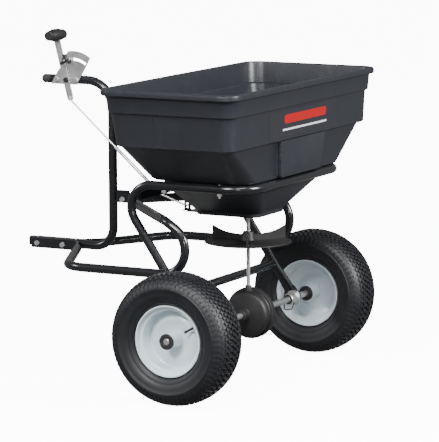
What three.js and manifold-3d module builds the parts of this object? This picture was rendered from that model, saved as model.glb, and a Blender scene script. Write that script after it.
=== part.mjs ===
// Tow-behind garden broadcast spreader.
//
// Millimetres, +Z up, ground at Z = 0. X runs along the direction of travel with the drawbar
// toward -X and the hopper's label side toward +X. Y runs along the wheel axle, and the side
// called "near" is -Y. Inside the machine group X = 0 is the wheel axle.

import * as THREE from 'three';
import { mergeVertices } from 'three/addons/utils/BufferGeometryUtils.js';
import Module from 'manifold-3d';

const wasm = await Module();
wasm.setup();

// ---------------------------------------------------------------- driving dimensions

const FIT_GAP = 0.4;             // clearance between pieces that touch

const TYRE_RADIUS = 165;         // 13 x 5.00-6 turf tyre
const TYRE_HALF_WIDTH = 63.5;
const RIM_RADIUS = 88.8;
const RIM_HALF_WIDTH = 47.5;
const TRACK = 770;               // between the wheel centres
const AXLE_Z = TYRE_RADIUS;
const AXLE_RADIUS = 8;
const AXLE_HALF_LENGTH = 438;
const HUB_HALF_LENGTH = 48;

const FRAME_TUBE = 23;           // drawbar, post, handle and side tubes
const CRADLE_TUBE = 22;          // hopper cradle and cross tube
const DRAWBAR_Z = 309;
const DRAWBAR_FRONT = -641;
const POST_X = -392;
const HANDLE_Z = 740;
const HANDLE_FRONT = -572;
const BRACE = { x: -360, z: 436 };          // bolt that holds the side tubes to the post
const RAIL_Y = 290;
const RAIL_Z = 303;
const RAIL_FRONT = -364;
const RAIL_REAR = -26;
const RAIL_TOP_Z = 433;
const CRADLE_Y = 265;
const CRADLE_Z = 519;
const CRADLE_REAR = 138;
const LEG_TOP_X = -240;          // where the leg line would meet the cradle rail
const STRAP_THICKNESS = 6;       // tube wall pressed flat at a bolted end

const LIP = { front: -208, rear: 174, half: 418.5, bottom: 751, top: 766.5 };
const BAND_Z = 708.5;            // step between the hopper's two vertical bands
const LEDGE_Z = 626;             // where the hopper starts to narrow
const SEAT_Z = 531.4;            // underside that rests on the cradle
const HOPPER_BOTTOM_Z = 508.4;
const HOPPER_WALL = 4;
const FUNNEL_TOP_Z = 507.5;
const FUNNEL_BOTTOM_Z = 423.5;
const FUNNEL_FLOOR_Z = 428;
const FUNNEL_WALL = 3;

const IMPELLER_RADIUS = 111;
const IMPELLER_Z = 349;
const SHAFT_RADIUS = 4.75;
const GEAR_TEETH = 36;
const PINION_TEETH = 9;

const PIVOT = { x: -518, z: 740 };          // flow lever pivot, on the handle
const LEVER_PLANE = -20;                    // near face of the flow lever
const LEVER_LEAN = THREE.MathUtils.degToRad(14.5);
const SLOT = { x: -500, z: 728, radius: 66 };
const ROD_PLANE = -27;
const ROD_RADIUS = 2.5;
const ROD_PIN = { x: -506.5, z: 695 };
const GATE_PIN = { x: -163, z: 435 };

// ---------------------------------------------------------------- materials

function material(color, roughness, metalness) {
  return new THREE.MeshStandardMaterial({ color, roughness, metalness });
}

const paint = material(0x1b1d20, 0.32, 0.1);
const hopperPlastic = material(0x3a3c42, 0.5, 0);
const blackPlastic = material(0x17181a, 0.5, 0);
const rubber = material(0x1d1f23, 0.85, 0);
const rimPaint = material(0xa9b6bf, 0.35, 0.2);
const zinc = material(0xb9bec0, 0.35, 0.9);
const nylon = material(0x1a1a1c, 0.55, 0);
const gearSteel = material(0x7d8185, 0.4, 0.9);

// ---------------------------------------------------------------- solids and booleans

// A closed three.js mesh as a solid that can be cut and joined.
function toSolid(geometry) {
  const bare = geometry.clone();
  bare.deleteAttribute('normal');
  bare.deleteAttribute('uv');
  const merged = mergeVertices(bare, 1e-4);
  const vertProperties = new Float32Array(merged.attributes.position.array);
  const triVerts = new Uint32Array(merged.index.array);
  return new wasm.Manifold(new wasm.Mesh({ numProp: 3, vertProperties, triVerts }));
}

function toGeometry(solid) {
  const mesh = solid.getMesh();
  const geometry = new THREE.BufferGeometry();
  geometry.setAttribute('position', new THREE.BufferAttribute(mesh.vertProperties, 3));
  geometry.setIndex(new THREE.BufferAttribute(mesh.triVerts, 1));
  geometry.computeVertexNormals();
  return geometry;
}

function join(...geometries) {
  return toGeometry(geometries.map(toSolid).reduce((sum, next) => sum.add(next)));
}

function cut(geometry, ...tools) {
  return toGeometry(tools.map(toSolid).reduce((rest, tool) => rest.subtract(tool), toSolid(geometry)));
}

// ---------------------------------------------------------------- shape helpers

const Y_AXIS = new THREE.Vector3(0, 1, 0);
const Z_AXIS = new THREE.Vector3(0, 0, 1);

function vec(x, y, z) {
  return new THREE.Vector3(x, y, z);
}

function box(x0, x1, y0, y1, z0, z1) {
  const geometry = new THREE.BoxGeometry(x1 - x0, Math.abs(y1 - y0), z1 - z0);
  return geometry.translate((x0 + x1) / 2, (y0 + y1) / 2, (z0 + z1) / 2);
}

// A round bar of the given radius from one point to another along an axis.
function bar(radius, centre, axis, length, sides = 12) {
  const geometry = new THREE.CylinderGeometry(radius, radius, length, sides);
  geometry.applyQuaternion(new THREE.Quaternion().setFromUnitVectors(Y_AXIS, axis));
  return geometry.translate(centre.x, centre.y, centre.z);
}

// A ring or turned piece about the Y axis. Points are [radius, position along Y].
function turned(points, sides = 16) {
  return new THREE.LatheGeometry(points.map(([r, a]) => new THREE.Vector2(r, a)), sides);
}

// The same for an outline that closes on itself away from the axis.
function turnedRing(points, sides = 16) {
  return turned([...points, points[0]], sides);
}

// A turned piece about the Z axis through x = y = 0.
function turnedUpright(points, sides = 16) {
  return turned(points, sides).rotateX(Math.PI / 2);
}

// A flat plate in the XZ plane, from y down to y - thickness.
function plate(outline, y, thickness) {
  const options = { depth: thickness, bevelEnabled: false, curveSegments: 4 };
  return new THREE.ExtrudeGeometry(outline, options).rotateX(Math.PI / 2).translate(0, y, 0);
}

function outlineOf(points) {
  return new THREE.Shape(points.map(([x, y]) => new THREE.Vector2(x, y)));
}

// A centre line made of straight runs joined by circular bends, with one station at each end
// of a straight run and a few around each bend.
class BentPath extends THREE.Curve {
  constructor(corners, radii, stepsPerBend = 6) {
    super();
    this.stations = [];
    const last = corners.length - 1;
    const headings = corners.slice(1).map((c, i) => c.clone().sub(corners[i]).normalize());
    this.stations.push({ point: corners[0], heading: headings[0] });
    for (let i = 1; i < last; i += 1) {
      this.addBend(corners[i], headings[i - 1], headings[i], radii[i - 1], stepsPerBend);
    }
    this.stations.push({ point: corners[last], heading: headings[last - 1] });
  }

  addBend(corner, before, after, radius, steps) {
    const turn = before.angleTo(after);
    const setback = radius * Math.tan(turn / 2);
    const start = corner.clone().addScaledVector(before, -setback);
    const inward = after.clone().addScaledVector(before, -after.dot(before)).normalize();
    const centre = start.clone().addScaledVector(inward, radius);
    for (let k = 0; k <= steps; k += 1) {
      const angle = (turn * k) / steps;
      const point = centre.clone().addScaledVector(inward, -radius * Math.cos(angle));
      point.addScaledVector(before, radius * Math.sin(angle));
      const heading = before.clone().multiplyScalar(Math.cos(angle));
      heading.addScaledVector(inward, Math.sin(angle));
      this.stations.push({ point, heading });
    }
  }

  stationAt(u) {
    return this.stations[Math.round(u * (this.stations.length - 1))];
  }

  getPointAt(u, target = new THREE.Vector3()) {
    return target.copy(this.stationAt(u).point);
  }

  getTangentAt(u, target = new THREE.Vector3()) {
    return target.copy(this.stationAt(u).heading);
  }
}

// A round tube or wire along a bent path, with an even number of sides.
function bentTube(diameter, corners, radii, sides = 10, stepsPerBend = 5) {
  const path = new BentPath(corners, radii, stepsPerBend);
  const section = new THREE.Shape();
  section.absarc(0, 0, diameter / 2, 0, 2 * Math.PI);
  return new THREE.ExtrudeGeometry(section, {
    extrudePath: path,
    steps: path.stations.length - 1,
    curveSegments: sides / 2,
  });
}

const CORNER_STEPS = 4;

// Points around a level rectangle with rounded corners, { z, front, rear, half, radius }.
function ring({ z, front, rear, half, radius }) {
  const corners = [
    [rear - radius, radius - half],
    [rear - radius, half - radius],
    [front + radius, half - radius],
    [front + radius, radius - half],
  ];
  return corners.flatMap(([x, y], quarter) => {
    const arc = [];
    for (let i = 0; i <= CORNER_STEPS; i += 1) {
      const angle = (quarter - 1 + i / CORNER_STEPS) * (Math.PI / 2);
      arc.push(vec(x + radius * Math.cos(angle), y + radius * Math.sin(angle), z));
    }
    return arc;
  });
}

// A solid through a list of such rectangles, lowest first. Two at one height make a step.
function loft(...levels) {
  const rings = levels.map(ring);
  const bottom = rings[0];
  const top = rings[rings.length - 1];
  const triangles = [];
  for (let i = 0; i < bottom.length; i += 1) {
    const j = (i + 1) % bottom.length;
    triangles.push(bottom[0], bottom[j], bottom[i], top[0], top[i], top[j]);
    for (let k = 1; k < rings.length; k += 1) {
      const [lower, upper] = [rings[k - 1], rings[k]];
      triangles.push(lower[i], lower[j], upper[j], lower[i], upper[j], upper[i]);
    }
  }
  return new THREE.BufferGeometry().setFromPoints(triangles);
}

// A level moved inward by a wall thickness, and to another height.
function inset(level, wall, z = level.z) {
  const { front, rear, half, radius } = level;
  return { z, front: front + wall, rear: rear - wall, half: half - wall, radius: radius - wall };
}

// A hexagon bolt with its nut, lying along -Y to +Y, head toward -Y.
function boltWithNut(radius, grip) {
  const head = radius * 1.7;
  const tall = radius * 1.1;
  return turned([
    [0, -grip / 2 - tall],
    [head, -grip / 2 - tall],
    [head, -grip / 2],
    [radius, -grip / 2],
    [radius, grip / 2],
    [head, grip / 2],
    [head, grip / 2 + tall],
    [0, grip / 2 + tall],
  ], 6);
}

const BOLT_RADIUS = 4;
const BOLT_HOLE = 4.8;

function holeAlongY(x, z, radius = BOLT_HOLE) {
  return bar(radius, vec(x, 0, z), Y_AXIS, 1200, 8);
}

// ---------------------------------------------------------------- the scene graph

const spreader = new THREE.Group();
const machine = new THREE.Group();
spreader.add(machine);
machine.position.x = -(DRAWBAR_FRONT + LIP.rear) / 2;

function add(name, geometry, surface, position = vec(0, 0, 0), parent = machine) {
  const mesh = new THREE.Mesh(geometry, surface);
  mesh.name = name;
  mesh.position.copy(position);
  parent.add(mesh);
  return mesh;
}

// ---------------------------------------------------------------- drawbar, post and handle

const DRAWBAR_BOLTS = [-613, -536];
const DRAWBAR_BOLT_Z = 306.5;
const QUADRANT_BOLTS = [-549, -492];
const TAB = { bottom: 427, top: 459, half: 3 };

const drawbarPath = [
  vec(-500, 0, DRAWBAR_Z),
  vec(POST_X, 0, DRAWBAR_Z),
  vec(POST_X, 0, HANDLE_Z),
  vec(HANDLE_FRONT, 0, HANDLE_Z),
];
const tubeHalf = FRAME_TUBE / 2;
const drawbarNose = box(DRAWBAR_FRONT, -490, -tubeHalf, tubeHalf, DRAWBAR_Z - 10.5, DRAWBAR_Z + 13);
const postTab = box(POST_X, BRACE.x + 16, -TAB.half, TAB.half, TAB.bottom, TAB.top);
const postHoles = [
  ...DRAWBAR_BOLTS.map((x) => holeAlongY(x, DRAWBAR_BOLT_Z)),
  ...QUADRANT_BOLTS.map((x) => holeAlongY(x, HANDLE_Z)),
  holeAlongY(PIVOT.x, PIVOT.z),
  holeAlongY(BRACE.x, BRACE.z),
];
const drawbarTube = bentTube(FRAME_TUBE, drawbarPath, [52, 72], 12);
add('drawbar_post', cut(join(drawbarTube, drawbarNose, postTab), ...postHoles), paint);

add('handle_cap', turned([
  [0, -26],
  [7, -26],
  [FRAME_TUBE / 2, -21],
  [FRAME_TUBE / 2, -FIT_GAP],
  [0, -FIT_GAP],
], 12).rotateZ(-Math.PI / 2), rubber, vec(HANDLE_FRONT, 0, HANDLE_Z));

// ---------------------------------------------------------------- side tubes

// One tube a side: pressed flat where it bolts to the drawbar, out to the front corner, back
// along the rail, up around the rear loop and forward to the post.
function sideTube(side) {
  const y = side * RAIL_Y;
  const strapY = side * (FRAME_TUBE / 2 + FIT_GAP + STRAP_THICKNESS / 2);
  const tabY = side * (TAB.half + FIT_GAP + STRAP_THICKNESS / 2);
  const path = [
    vec(-485, strapY * 1.3, DRAWBAR_Z - 3),
    vec(RAIL_FRONT, y, RAIL_Z),
    vec(RAIL_REAR, y, RAIL_Z),
    vec(RAIL_REAR, y, RAIL_TOP_Z - 33),
    vec(RAIL_REAR - 53, y, RAIL_TOP_Z + 2),
    vec(-340, tabY * 2.6, BRACE.z),
  ];
  const tube = bentTube(FRAME_TUBE, path, [75, 62, 64, 38], 10);
  const halfStrap = STRAP_THICKNESS / 2;
  const strap = box(-630, -474, strapY - halfStrap, strapY + halfStrap, 294, 321);
  const tab = box(-377, -325, tabY - halfStrap, tabY + halfStrap, TAB.bottom, TAB.top);
  const drawbarSide = box(-520, -330, -side * 40, side * (FRAME_TUBE / 2 + FIT_GAP), 250, 400);
  const tabSide = box(-420, -300, -side * 40, side * (TAB.half + FIT_GAP), 400, 480);
  const holes = DRAWBAR_BOLTS.map((x) => holeAlongY(x, DRAWBAR_BOLT_Z));
  return cut(join(tube, strap, tab), drawbarSide, tabSide, ...holes, holeAlongY(BRACE.x, BRACE.z));
}

add('near_side_tube', sideTube(-1), paint);
add('far_side_tube', sideTube(1), paint);

const drawbarGrip = FRAME_TUBE + 4 * FIT_GAP + 2 * STRAP_THICKNESS;
const tabGrip = 2 * TAB.half + 4 * FIT_GAP + 2 * STRAP_THICKNESS;
['drawbar_bolt_front', 'drawbar_bolt_rear'].forEach((name, i) => {
  add(name, boltWithNut(BOLT_RADIUS, drawbarGrip), zinc, vec(DRAWBAR_BOLTS[i], 0, DRAWBAR_BOLT_Z));
});
add('brace_bolt', boltWithNut(BOLT_RADIUS, tabGrip), zinc, vec(BRACE.x, 0, BRACE.z));

// ---------------------------------------------------------------- hopper cradle

const legSlope = (CRADLE_Z - AXLE_Z) / LEG_TOP_X;
const cradlePath = [
  vec(-30, -CRADLE_Y, AXLE_Z - 30 * legSlope),
  vec(LEG_TOP_X, -CRADLE_Y, CRADLE_Z),
  vec(CRADLE_REAR, -CRADLE_Y, CRADLE_Z),
  vec(CRADLE_REAR, CRADLE_Y, CRADLE_Z),
  vec(LEG_TOP_X, CRADLE_Y, CRADLE_Z),
  vec(-30, CRADLE_Y, AXLE_Z - 30 * legSlope),
];

// The pressed foot of a leg: a flat bar with a round end about the axle.
function legFoot(side) {
  const lean = Math.atan2(LEG_TOP_X, CRADLE_Z - AXLE_Z);
  const outline = new THREE.Shape();
  outline.absarc(0, 0, 18, Math.PI, 2 * Math.PI);
  outline.lineTo(18, 40);
  outline.lineTo(11, 62);
  outline.lineTo(-11, 62);
  outline.lineTo(-18, 40);
  const foot = plate(outline, STRAP_THICKNESS / 2, STRAP_THICKNESS);
  foot.rotateY(lean);
  return foot.translate(0, side * CRADLE_Y, AXLE_Z);
}

// Each side rail is drilled through for two bolts from the hopper's seat.
const HOPPER_BOLTS = [
  ['near_hopper_bolt_1', -97, -1],
  ['near_hopper_bolt_2', 57, -1],
  ['far_hopper_bolt_1', -97, 1],
  ['far_hopper_bolt_2', 57, 1],
];
const HOPPER_BOLT_RADIUS = 3;
const FOOT_HOLE = 12.5;
const cradleTube = bentTube(CRADLE_TUBE, cradlePath, [57, 76, 76, 57], 10);
const railHoles = HOPPER_BOLTS.map(([, x, side]) => {
  const middle = vec(x, side * CRADLE_Y, CRADLE_Z);
  return bar(HOPPER_BOLT_RADIUS + FIT_GAP, middle, Z_AXIS, 60, 6);
});
add('hopper_cradle', cut(
  join(cradleTube, legFoot(-1), legFoot(1)),
  bar(FOOT_HOLE, vec(0, 0, AXLE_Z), Y_AXIS, 2 * CRADLE_Y + 40, 16),
  ...railHoles,
), paint);
HOPPER_BOLTS.forEach(([name, x, side]) => {
  const nutTop = CRADLE_Z - CRADLE_TUBE / 2 - FIT_GAP;
  add(name, turnedUpright([
    [0, nutTop - 11],
    [HOPPER_BOLT_RADIUS, nutTop - 11],
    [HOPPER_BOLT_RADIUS + 0.2, nutTop - 6],
    [6, nutTop - 6],
    [6, nutTop],
    [HOPPER_BOLT_RADIUS, nutTop],
    [HOPPER_BOLT_RADIUS, CRADLE_Z + CRADLE_TUBE / 2],
    [0, CRADLE_Z + CRADLE_TUBE / 2],
  ], 6), zinc, vec(x, side * CRADLE_Y, 0));
});

const legInside = CRADLE_Y - CRADLE_TUBE / 2 - FIT_GAP;
const CROSS_Z = 251;
const crossX = (CROSS_Z - AXLE_Z) / legSlope;
add('cross_tube', bar(CRADLE_TUBE / 2, vec(crossX, 0, CROSS_Z), Y_AXIS, 2 * legInside, 12), paint);
add('front_cross_bar', box(-174, -170, -legInside, legInside, 478, 506), paint);

// ---------------------------------------------------------------- axle and its bearings

const footFace = CRADLE_Y - STRAP_THICKNESS / 2 - FIT_GAP;
const CLIP_Y = 206;
const clipHole = (side) => bar(2.2, vec(0, side * CLIP_Y, 0), Z_AXIS, 40, 8);
const axleBar = bar(AXLE_RADIUS, vec(0, 0, 0), Y_AXIS, 2 * AXLE_HALF_LENGTH, 16);
add('axle', cut(axleBar, clipHole(-1), clipHole(1)), zinc, vec(0, 0, AXLE_Z));

// A zinc bearing housing on the inner side of each leg foot, a nylon bush through the foot and
// the housing, and a wire clip through the axle that keeps the axle from creeping sideways.
function bearing(side, name) {
  const housing = turnedRing([
    [12.5, -footFace],
    [20, -footFace],
    [20, -footFace + 4],
    [15, -footFace + 4],
    [15, -footFace + 36],
    [12.5, -footFace + 36],
  ], 16);
  const bush = turnedRing([
    [8.5, -CRADLE_Y - 9],
    [17, -CRADLE_Y - 9],
    [17, -CRADLE_Y - 3.5],
    [12, -CRADLE_Y - 3.5],
    [12, -footFace + 34],
    [8.5, -footFace + 34],
  ], 16);
  if (side > 0) {
    housing.rotateX(Math.PI);
    bush.rotateX(Math.PI);
  }
  add(`${name}_bearing_housing`, housing, zinc, vec(0, 0, AXLE_Z));
  add(`${name}_axle_bush`, bush, nylon, vec(0, 0, AXLE_Z));
  const clip = bentTube(3.4, [
    vec(0, side * CLIP_Y, 22),
    vec(0, side * CLIP_Y, -24),
    vec(14, side * (CLIP_Y + 18), -24),
    vec(16, side * (CLIP_Y + 24), -6),
  ], [4, 5], 6, 2);
  add(`${name}_axle_clip`, clip, blackPlastic, vec(0, 0, AXLE_Z));
}

bearing(-1, 'near');
bearing(1, 'far');

// ---------------------------------------------------------------- wheels

// Half of a profile that is symmetric about the wheel's centre plane, then its mirror image.
function mirrored(half) {
  return [...half, ...half.toReversed().map(([r, a]) => [r, -a])];
}

const tyreProfile = [
  ...mirrored([
    [79, -28],
    [89.6, -36],
    [92, -48],
    [108, -60],
    [127, -TYRE_HALF_WIDTH],
    [148, -58],
    [160, -42],
    [TYRE_RADIUS, -18],
  ]),
  [88, 24],
  [128, 54],
  [153, 30],
  [153, -30],
  [128, -54],
  [88, -24],
];

const HUB_BORE = 12.4;
const rimHalf = RIM_HALF_WIDTH;
const rimProfile = [
  [HUB_BORE, -HUB_HALF_LENGTH],
  [20, -HUB_HALF_LENGTH],
  [20, -2],
  [50, 4],
  [73.5, -8],
  [73.5, -34],
  [83, -37],
  [84.5, -rimHalf],
  [RIM_RADIUS, -rimHalf],
  [87.5, -36],
  [77.5, -31],
  [77.5, 31],
  [87.5, 36],
  [RIM_RADIUS, rimHalf],
  [84.5, rimHalf],
  [83, 37],
  [73.5, 34],
  [73.5, -4],
  [50, 8],
  [20, 2],
  [20, HUB_HALF_LENGTH],
  [HUB_BORE, HUB_HALF_LENGTH],
];

const VALVE_LEAN = 0.3;
const VALVE_ANGLE = THREE.MathUtils.degToRad(31);

// A wheel faces away from the machine: +Y of its own group is outward.
function wheel(side, name) {
  const group = new THREE.Group();
  group.position.set(0, (side * TRACK) / 2, AXLE_Z);
  if (side < 0) {
    group.rotation.x = Math.PI;
  }
  machine.add(group);
  add(`${name}_tyre`, turnedRing(tyreProfile, 24), rubber, vec(0, 0, 0), group);
  add(`${name}_rim`, turnedRing(rimProfile, 20), rimPaint, vec(0, 0, 0), group);
  const bush = [
    [AXLE_RADIUS + 0.5, 30],
    [HUB_BORE - 0.4, 30],
    [HUB_BORE - 0.4, HUB_HALF_LENGTH + 0.4],
    [19.5, HUB_HALF_LENGTH + 0.4],
    [19.5, HUB_HALF_LENGTH + 4.4],
    [AXLE_RADIUS + 0.5, HUB_HALF_LENGTH + 4.4],
  ];
  add(`${name}_hub_bush_outer`, turnedRing(bush, 14), nylon, vec(0, 0, 0), group);
  add(`${name}_hub_bush_inner`, turnedRing(bush, 14).rotateX(Math.PI), nylon, vec(0, 0, 0), group);
  const stem = turned([[0, 0], [5.5, 0], [5.5, 4], [3, 6], [3, 30], [0, 30]], 8);
  stem.rotateZ(Math.PI / 2 - VALVE_LEAN).translate(70.4, 16, 0).rotateY(VALVE_ANGLE);
  add(`${name}_valve`, stem, rubber, vec(0, 0, 0), group);
}

wheel(-1, 'near');
wheel(1, 'far');

// ---------------------------------------------------------------- gearbox

const CASE_SEAM = 14;
const NECK_TOP = 238;
const neckHeight = NECK_TOP - AXLE_Z;
const nearShell = turnedRing([
  [8.8, -46],
  [15, -46],
  [15, -23],
  [52, -20],
  [59, -15],
  [59, 4],
  [66, 6],
  [66, CASE_SEAM - 0.2],
  [63, CASE_SEAM - 0.2],
  [56, 6],
  [56, -13],
  [51, -17],
  [8.8, -20],
], 20);
const neck = bar(8, vec(0, 0, (neckHeight + 45) / 2), Z_AXIS, neckHeight - 45, 12);
const neckBore = bar(SHAFT_RADIUS + 0.5, vec(0, 0, neckHeight / 2 + 20), Z_AXIS, neckHeight, 12);
const pinionSpace = turnedUpright([[0, 30], [12, 30], [12, 54], [0, 54]], 12);
const nearCase = cut(join(nearShell, neck), neckBore, pinionSpace);
add('gearbox_near_case', nearCase, blackPlastic, vec(0, 0, AXLE_Z));

add('gearbox_far_case', turnedRing([
  [8.8, 27],
  [56, 24.5],
  [63, 20],
  [63, CASE_SEAM + 0.2],
  [66, CASE_SEAM + 0.2],
  [66, 22],
  [58, 27.5],
  [15, 30],
  [15, 44],
  [8.8, 44],
], 20), blackPlastic, vec(0, 0, AXLE_Z));

// A bevel gear blank about +Z with pointed teeth, tapered from its wide end at z = 0.
function bevelGear(teeth, rootRadius, tipRadius, width, endScale, boreRadius) {
  const points = [];
  for (let i = 0; i < teeth; i += 1) {
    [[0, rootRadius], [0.5, tipRadius]].forEach(([at, radius]) => {
      const angle = (2 * Math.PI * (i + at)) / teeth;
      points.push([radius * Math.cos(angle), radius * Math.sin(angle)]);
    });
  }
  const outline = outlineOf(points);
  const bore = new THREE.Path();
  bore.absarc(0, 0, boreRadius, 0, 2 * Math.PI, true);
  outline.holes.push(bore);
  const options = { depth: width, bevelEnabled: false, curveSegments: 6 };
  const geometry = new THREE.ExtrudeGeometry(outline, options);
  const position = geometry.attributes.position;
  for (let i = 0; i < position.count; i += 1) {
    const radius = Math.hypot(position.getX(i), position.getY(i));
    if (position.getZ(i) > width / 2 && radius > boreRadius * 1.2) {
      position.setX(i, position.getX(i) * endScale);
      position.setY(i, position.getY(i) * endScale);
    }
  }
  return geometry;
}

const gearBore = AXLE_RADIUS + 0.4;
const driveGear = bevelGear(GEAR_TEETH, 46, 51, 7, 0.86, gearBore).rotateX(Math.PI / 2);
add('drive_gear', driveGear, gearSteel, vec(0, 20.5, AXLE_Z));
const pinion = bevelGear(PINION_TEETH, 8.2, 11.2, 12, 0.8, SHAFT_RADIUS + 0.4).rotateX(Math.PI);
add('pinion', pinion, gearSteel, vec(0, 0, AXLE_Z + 50));

// ---------------------------------------------------------------- impeller and its shaft

const SHAFT_BOTTOM = AXLE_Z + 37;
const SHAFT_TOP = 449;
const shaftMiddle = vec(0, 0, (SHAFT_BOTTOM + SHAFT_TOP) / 2);
add('impeller_shaft', bar(SHAFT_RADIUS, shaftMiddle, Z_AXIS, SHAFT_TOP - SHAFT_BOTTOM, 12), zinc);

const VANES = 3;
const VANE_ANGLE = THREE.MathUtils.degToRad(55);
const shaftFit = SHAFT_RADIUS + 0.4;
const impellerParts = [turnedUpright([
  [shaftFit, 0],
  [IMPELLER_RADIUS, 0],
  [IMPELLER_RADIUS, 3],
  [17, 3.5],
  [14, 27],
  [shaftFit, 27],
  [shaftFit, 0],
], 24)];
const vaneOutline = [[9, 1], [107, 1], [107, 36], [88, 28], [66, 22], [38, 19], [9, 19]];
for (let i = 0; i < VANES; i += 1) {
  const vane = plate(outlineOf(vaneOutline), 1.5, 3);
  impellerParts.push(vane.rotateZ(VANE_ANGLE + (2 * Math.PI * i) / VANES));
}
const impellerBore = bar(shaftFit, vec(0, 0, 17), Z_AXIS, 60, 12);
add('impeller', cut(join(...impellerParts), impellerBore), blackPlastic, vec(0, 0, IMPELLER_Z));

const agitatorHub = turnedUpright([
  [shaftFit, SHAFT_TOP - 9],
  [9, SHAFT_TOP - 9],
  [9, SHAFT_TOP],
  [shaftFit, SHAFT_TOP],
  [shaftFit, SHAFT_TOP - 9],
], 12);
const wireZ = SHAFT_TOP - 4;
const frontWire = bentTube(4, [vec(-42, 0, wireZ + 13), vec(-26, 0, wireZ), vec(-7, 0, wireZ)], [8], 6, 2);
const rearWire = bentTube(4, [vec(7, 0, wireZ), vec(26, 0, wireZ), vec(42, 0, wireZ + 13)], [8], 6, 2);
add('agitator', join(agitatorHub, frontWire, rearWire), zinc);

// ---------------------------------------------------------------- hopper

const lipTop = { z: LIP.top, front: LIP.front, rear: LIP.rear, half: LIP.half, radius: 48 };
const lipBottom = { ...lipTop, z: LIP.bottom };
const band1Top = { z: LIP.bottom, front: -196.5, rear: 164, half: 406.5, radius: 42 };
const band1Bottom = { z: BAND_Z, front: -192.5, rear: 160.5, half: 402.5, radius: 40 };
const band2Top = { z: BAND_Z, front: -186, rear: 155, half: 396.5, radius: 38 };
const band2Bottom = { z: LEDGE_Z, front: -174, rear: 152, half: 390, radius: 36 };
const bodyTop = { z: LEDGE_Z, front: -168, rear: 139, half: 382, radius: 38 };
const bodyBottom = { z: SEAT_Z, front: -150, rear: 137, half: 265, radius: 50 };
const neckTop = { z: SEAT_Z, front: -146, rear: 124, half: 240, radius: 90 };
const neckBottom = { ...neckTop, z: HOPPER_BOTTOM_Z };
const panelBottom = { z: SEAT_Z + 3, front: 100, rear: 150, half: 112, radius: 6 };
const panelTop = { ...panelBottom, z: LEDGE_Z + 2 };

const wall = HOPPER_WALL;
const hopperOutside = join(
  loft(
    neckBottom,
    neckTop,
    bodyBottom,
    bodyTop,
    band2Bottom,
    band2Top,
    band1Bottom,
    band1Top,
    lipBottom,
    lipTop,
  ),
  loft(panelBottom, panelTop),
);
const hopperInside = join(
  loft(
    inset(neckBottom, wall, HOPPER_BOTTOM_Z - 5),
    inset(neckTop, wall, SEAT_Z + wall),
    inset(bodyBottom, wall, SEAT_Z + wall),
    inset(bodyTop, wall, LEDGE_Z + wall),
    inset(band2Bottom, wall, LEDGE_Z + wall),
    inset(band2Top, wall, BAND_Z + wall),
    inset(band1Bottom, wall, BAND_Z + wall),
    inset(band1Top, wall, LIP.top + 5),
  ),
  loft(inset(panelBottom, wall, SEAT_Z + 3 + wall), inset(panelTop, wall, LEDGE_Z + wall)),
);
add('hopper', cut(hopperOutside, hopperInside), hopperPlastic);

// ---------------------------------------------------------------- lower hopper and flow gate

const flange = { z: FUNNEL_TOP_Z, front: -146, rear: 124, half: 240, radius: 98 };
const coneTop = { z: FUNNEL_TOP_Z - 3, front: -142, rear: 119, half: 234, radius: 94 };
const coneBottom = { z: FUNNEL_BOTTOM_Z + 9, front: -113, rear: 67, half: 84, radius: 28 };
const floorInside = FUNNEL_FLOOR_Z + FUNNEL_WALL;
const skirt = inset({ ...coneBottom, z: FUNNEL_BOTTOM_Z }, FUNNEL_WALL, FUNNEL_BOTTOM_Z - 1);
const OUTLET = { front: -62, rear: -22, half: 35 };
const outletTop = floorInside + 5;
const outlet = box(OUTLET.front, OUTLET.rear, -OUTLET.half, OUTLET.half, FUNNEL_BOTTOM_Z - 5, outletTop);
const shaftHole = bar(10.2, vec(0, 0, floorInside), Z_AXIS, 30, 12);
const gateWindow = box(-120, -108, -53, 53, FUNNEL_BOTTOM_Z - 5, FUNNEL_FLOOR_Z);
add('lower_hopper', cut(
  loft({ ...coneBottom, z: FUNNEL_BOTTOM_Z }, coneBottom, coneTop, { ...flange, z: coneTop.z }, flange),
  loft(
    inset(coneBottom, FUNNEL_WALL, floorInside),
    inset(coneTop, FUNNEL_WALL),
    inset(coneTop, FUNNEL_WALL, FUNNEL_TOP_Z + 1),
  ),
  loft(skirt, { ...skirt, z: FUNNEL_FLOOR_Z }),
  outlet,
  shaftHole,
  gateWindow,
), hopperPlastic);

const BUSH_TOP = FUNNEL_FLOOR_Z + FUNNEL_WALL + 3;
const bushFlangeTop = FUNNEL_FLOOR_Z - FIT_GAP;
add('shaft_bush', turnedUpright([
  [SHAFT_RADIUS + 0.5, bushFlangeTop - 3],
  [14, bushFlangeTop - 3],
  [14, bushFlangeTop],
  [9.6, bushFlangeTop],
  [9.6, BUSH_TOP],
  [SHAFT_RADIUS + 0.5, BUSH_TOP],
  [SHAFT_RADIUS + 0.5, bushFlangeTop - 3],
], 14), nylon);

const GATE = { front: -152, rear: -16, half: 44, bottom: 422, top: 425 };
const gatePlate = box(GATE.front, GATE.rear, -GATE.half, GATE.half, GATE.bottom, GATE.top);
const gateNose = box(-172, GATE.front + 1, -30, -12, GATE.bottom, GATE.top);
const gateTab = box(-172, -154, -21.5, -18.5, GATE.bottom, 447);
const pinSlot = box(GATE_PIN.x - 4, GATE_PIN.x + 3.2, -40, 0, GATE_PIN.z - 6.5, GATE_PIN.z + 6.5);
add('flow_gate', cut(join(gatePlate, gateNose, gateTab), pinSlot), gearSteel);

// Two rails and a rear stop under the funnel floor, with lips that carry the gate.
const GUIDE = { front: -106, rear: 34, bottom: 419.5, lip: 421.5, top: FUNNEL_FLOOR_Z - FIT_GAP };

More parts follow.
